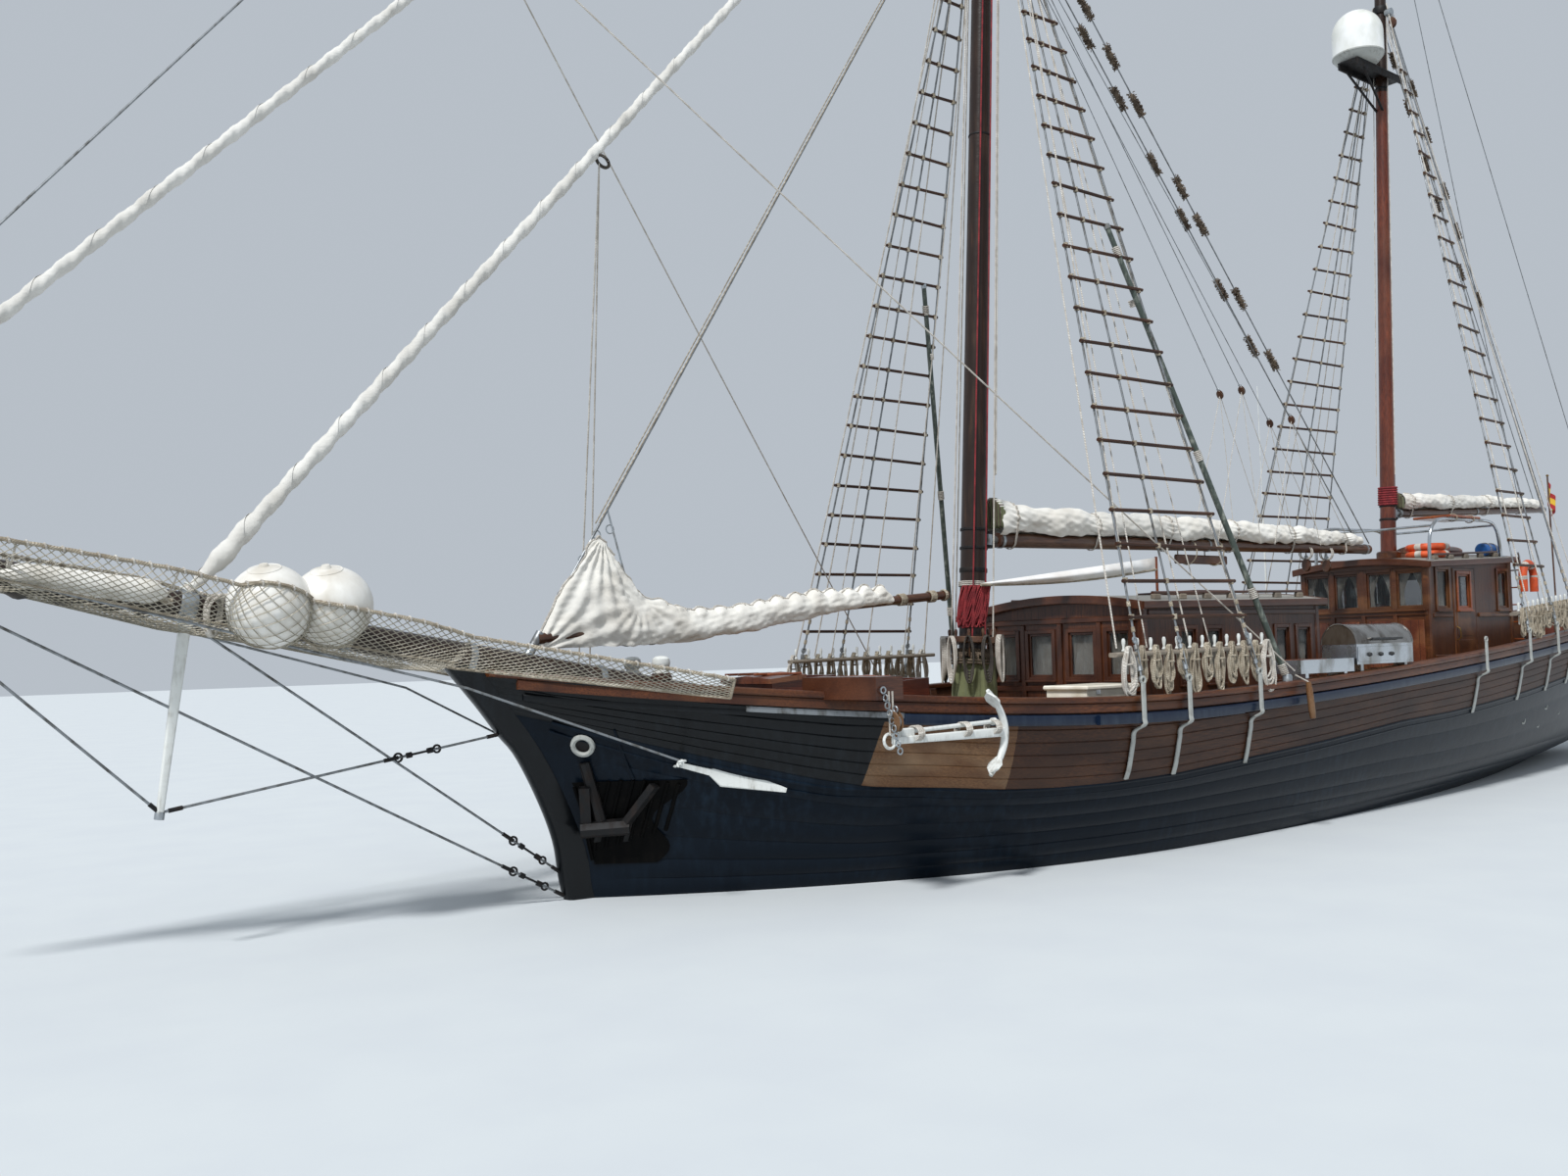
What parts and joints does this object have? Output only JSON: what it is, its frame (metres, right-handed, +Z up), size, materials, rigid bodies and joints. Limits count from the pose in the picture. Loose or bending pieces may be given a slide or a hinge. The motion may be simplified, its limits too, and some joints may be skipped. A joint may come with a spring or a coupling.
{
  "type": "two-masted wooden sailing ketch",
  "caption": "Wooden motor-sailing ketch with raked masts, furled sails, a net under its bowsprit, a saloon and wheelhouse, and its whole underwater hull.",
  "frame": {"origin": "on the centreline at the waterline, 9.5 m aft of the stem's waterline point", "axes": "+X towards the bow, +Y to port, +Z up"},
  "size_m": [27.954, 5.3558, 20.7069],
  "materials": {
    "black_paint": "satin",
    "bottom_paint": "matt",
    "varnish": "gloss",
    "dark_varnish": "satin",
    "deck_wood": "matt",
    "grey_wood": "matt",
    "spar_wood": "satin",
    "mast_paint": "satin",
    "canvas": "matt",
    "green_canvas": "matt",
    "netting": "matt",
    "white_plastic": "gloss",
    "white_steel": "satin",
    "wire": "matt",
    "stainless": "satin",
    "bronze": "satin",
    "black_iron": "matt"
  },
  "bodies": {
    "boat": {"hull": "black_paint", "keel": "bottom_paint", "deck": "deck_wood", "stem": "black_paint", "bulwark_port": "dark_varnish", "bulwark_starboard": "dark_varnish", "cap_rail_port": "varnish", "cap_rail_starboard": "varnish", "taffrail": "varnish", "bitts": "white_steel", "bowsprit": "dark_varnish", "main_mast": "mast_paint", "mizzen_mast": "spar_wood", "martingale": "wire", "jib_furled": "canvas", "outer_jib_furled": "canvas", "bowsprit_net": "netting", "main_shrouds_port": "wire", "main_shrouds_starboard": "wire", "mizzen_shrouds_port": "wire", "mizzen_shrouds_starboard": "wire", "saloon_front": "dark_varnish", "saloon_back": "dark_varnish", "saloon_side_port": "dark_varnish", "saloon_side_starboard": "dark_varnish", "saloon_roof": "grey_wood", "wheelhouse_front": "varnish", "wheelhouse_back": "dark_varnish", "wheelhouse_side_port": "dark_varnish", "wheelhouse_side_starboard": "dark_varnish", "wheelhouse_roof": "grey_wood", "companion_fore": "grey_wood", "companion_mid": "grey_wood", "cathead_port": "dark_varnish", "cathead_starboard": "dark_varnish", "anchor_port": "white_steel", "bow_anchor_port": "black_iron", "rail_trough": "stainless", "barbecue": "stainless", "deck_locker": "white_plastic", "boat_boom_port": "white_steel", "boat_boom_starboard": "white_steel", "radome": "white_plastic", "roof_arch": "stainless", "mast_apron": "green_canvas"},
    "rudder": {"rudder": "bottom_paint"},
    "propeller": {"propeller": "bronze"},
    "main_boom": {"main_boom": "spar_wood", "main_sail_furled": "canvas"},
    "mizzen_boom": {"mizzen_boom": "spar_wood", "mizzen_sail_furled": "canvas"},
    "staysail_boom": {"staysail_boom": "spar_wood", "staysail_furled": "canvas"},
    "companion_lid_fore": {"companion_lid_fore": "grey_wood"},
    "companion_lid_mid": {"companion_lid_mid": "grey_wood"},
    "saloon_door": {"saloon_door": "varnish"},
    "wheelhouse_door_port": {"wheelhouse_door_port": "varnish"},
    "wheelhouse_door_starboard": {"wheelhouse_door_starboard": "varnish"},
    "barbecue_lid": {"barbecue_lid": "stainless"},
    "helm_wheel": {"helm_wheel": "varnish"}
  },
  "joints": [
    {"name": "rudder_turn", "type": "hinge", "parent": "boat", "child": "rudder", "pos_m": [-9.16, 0, -1], "axis": [0, 0, 1], "range_deg": [-35, 35]},
    {"name": "helm_turn", "type": "hinge", "parent": "boat", "child": "helm_wheel", "pos_m": [-4.42, 0, 2.25], "axis": [1, 0, 0], "range_deg": [-360, 360]},
    {"name": "propeller_spin", "type": "hinge", "parent": "boat", "child": "propeller", "pos_m": [-8.43, 0, -1.05], "axis": [1, 0, 0], "continuous": true},
    {"name": "main_boom_swing", "type": "hinge", "parent": "boat", "child": "main_boom", "pos_m": [4.02596, 0, 3.33], "axis": [-0.0706, 0, 0.9975], "range_deg": [-45, 45]},
    {"name": "mizzen_boom_swing", "type": "hinge", "parent": "boat", "child": "mizzen_boom", "pos_m": [-5.16939, 0, 4.01], "axis": [-0.0672, 0, 0.9977], "range_deg": [-48, 48]},
    {"name": "staysail_boom_swing", "type": "hinge", "parent": "boat", "child": "staysail_boom", "pos_m": [9.83, 0, 2.235], "axis": [-0.5364, 0, 0.8439], "range_deg": [-35, 35]},
    {"name": "companion_lid_fore_slide", "type": "slide", "parent": "boat", "child": "companion_lid_fore", "axis": [-0.9972, 0, 0.0748], "range_m": [0, 0.4]},
    {"name": "companion_lid_mid_slide", "type": "slide", "parent": "boat", "child": "companion_lid_mid", "axis": [-0.9985, 0, 0.0538], "range_m": [0, 0.5]},
    {"name": "saloon_door_hinge", "type": "hinge", "parent": "boat", "child": "saloon_door", "pos_m": [-0.8, 0.2877, 1.9], "axis": [0, 0, -1], "range_deg": [0, 100]},
    {"name": "wheelhouse_door_port_hinge", "type": "hinge", "parent": "boat", "child": "wheelhouse_door_port", "pos_m": [-4.8623, 1, 2.3], "axis": [0, 0, -1], "range_deg": [0, 100]},
    {"name": "wheelhouse_door_starboard_hinge", "type": "hinge", "parent": "boat", "child": "wheelhouse_door_starboard", "pos_m": [-4.8623, -1, 2.3], "axis": [0, 0, 1], "range_deg": [0, 100]},
    {"name": "barbecue_lid_hinge", "type": "hinge", "parent": "boat", "child": "barbecue_lid", "pos_m": [0.12, 2.114, 2.03323], "axis": [1, 0, 0], "range_deg": [0, 85]}
  ],
  "couplings": [
    {"joint": "helm_turn", "follows": "rudder_turn", "ratio": 10.286}
  ]
}
